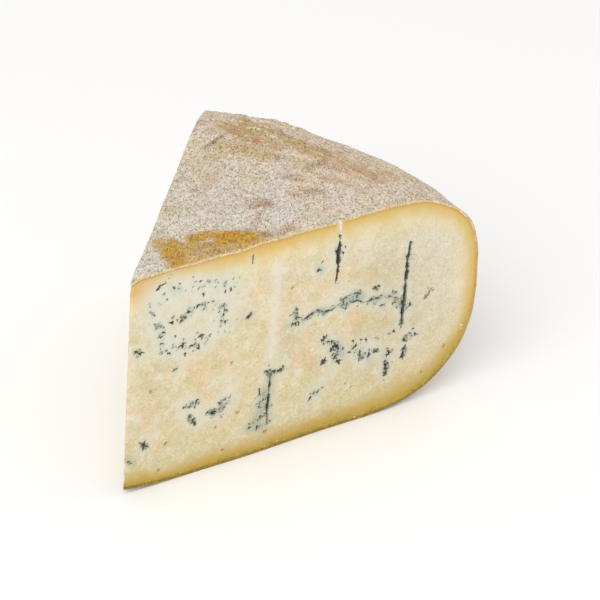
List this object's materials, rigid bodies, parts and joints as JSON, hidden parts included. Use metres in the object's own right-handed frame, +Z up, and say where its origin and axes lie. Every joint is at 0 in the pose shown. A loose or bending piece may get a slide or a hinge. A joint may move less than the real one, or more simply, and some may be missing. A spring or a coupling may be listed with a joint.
{
  "type": "blue cheese wedge",
  "caption": "Wedge of blue cheese cut from a flat round wheel, with a rounded grey rind, flat veined cuts and needle channels.",
  "frame": {"origin": "middle of the wedge's box, on the surface that it rests on", "axes": "+X from the tip to the heel along the near cut, +Y away from the near cut, +Z up out of the top rind"},
  "size_m": [0.167, 0.1224, 0.1007],
  "materials": {
    "paste": "cut cheese paste, smooth and slightly moist, soft light inside",
    "rind": "dry powdery natural rind, fine grained",
    "blue_mould": "matt velvety mould"
  },
  "bodies": {
    "root": {"cheese_wedge": "paste"}
  },
  "joints": []
}
